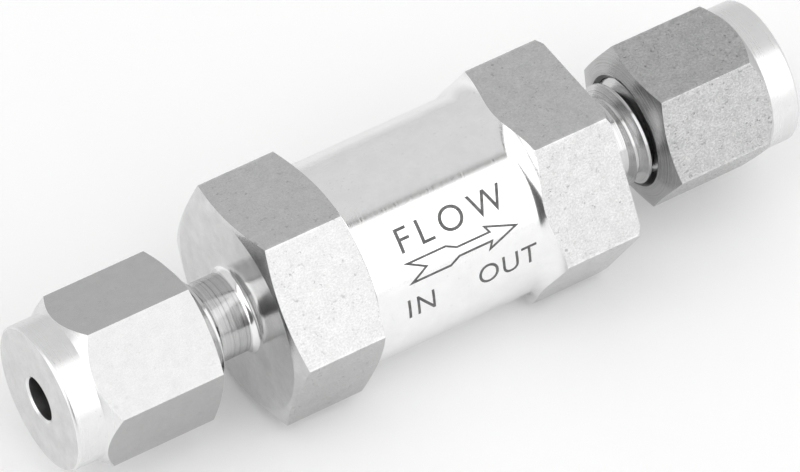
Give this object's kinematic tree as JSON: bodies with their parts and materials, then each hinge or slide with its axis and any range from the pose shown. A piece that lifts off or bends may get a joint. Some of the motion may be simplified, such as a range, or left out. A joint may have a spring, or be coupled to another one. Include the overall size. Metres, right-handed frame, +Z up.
{
  "type": "inline check valve",
  "caption": "Inline poppet check valve in stainless steel: hex bodies round a spring-loaded poppet, with a compression nut and twin ferrules at each tube end.",
  "frame": {"origin": "middle of the flow axis, halfway between the end faces of the two nuts", "axes": "+X along the flow from inlet to outlet, +Z up, square to a wrench flat of the outlet hex"},
  "size_m": [0.06, 0.0182, 0.0172],
  "materials": {
    "stainless_steel": "satin bar stock on the flats, fine turning lines on the round faces",
    "spring_steel": "drawn wire",
    "seal_rubber": "smooth moulded elastomer"
  },
  "bodies": {
    "valve_body": {"inlet_body": "stainless_steel", "outlet_body": "stainless_steel", "body_o_ring": "seal_rubber", "poppet_stop": "stainless_steel", "spring": "spring_steel"},
    "poppet": {"poppet": "stainless_steel", "poppet_o_ring": "seal_rubber"},
    "inlet_ferrules": {"inlet_front_ferrule": "stainless_steel", "inlet_back_ferrule": "stainless_steel"},
    "inlet_nut": {"inlet_nut": "stainless_steel"},
    "outlet_ferrules": {"outlet_front_ferrule": "stainless_steel", "outlet_back_ferrule": "stainless_steel"},
    "outlet_nut": {"outlet_nut": "stainless_steel"}
  },
  "joints": [
    {"name": "poppet_lift", "type": "slide", "parent": "valve_body", "child": "poppet", "axis": [1, 0, 0], "range_m": [0, 0.0015], "stiffness_N_per_m": 200, "springref_m": -0.002, "deforming": ["spring"]},
    {"name": "inlet_nut_travel", "type": "slide", "parent": "valve_body", "child": "inlet_ferrules", "axis": [1, 0, 0], "range_m": [-0.0051, 0.00053]},
    {"name": "inlet_nut_turn", "type": "hinge", "parent": "inlet_ferrules", "child": "inlet_nut", "pos_m": [-0.02425, 0, 0], "axis": [1, 0, 0], "range_deg": [-1440, 150]},
    {"name": "outlet_nut_travel", "type": "slide", "parent": "valve_body", "child": "outlet_ferrules", "axis": [1, 0, 0], "range_m": [-0.00053, 0.0051]},
    {"name": "outlet_nut_turn", "type": "hinge", "parent": "outlet_ferrules", "child": "outlet_nut", "pos_m": [0.02425, 0, 0], "axis": [1, 0, 0], "range_deg": [-150, 1440]}
  ],
  "couplings": [
    {"joint": "inlet_nut_travel", "follows": "inlet_nut_turn", "m_per_rad": 0.00020213},
    {"joint": "outlet_nut_travel", "follows": "outlet_nut_turn", "m_per_rad": 0.00020213}
  ]
}
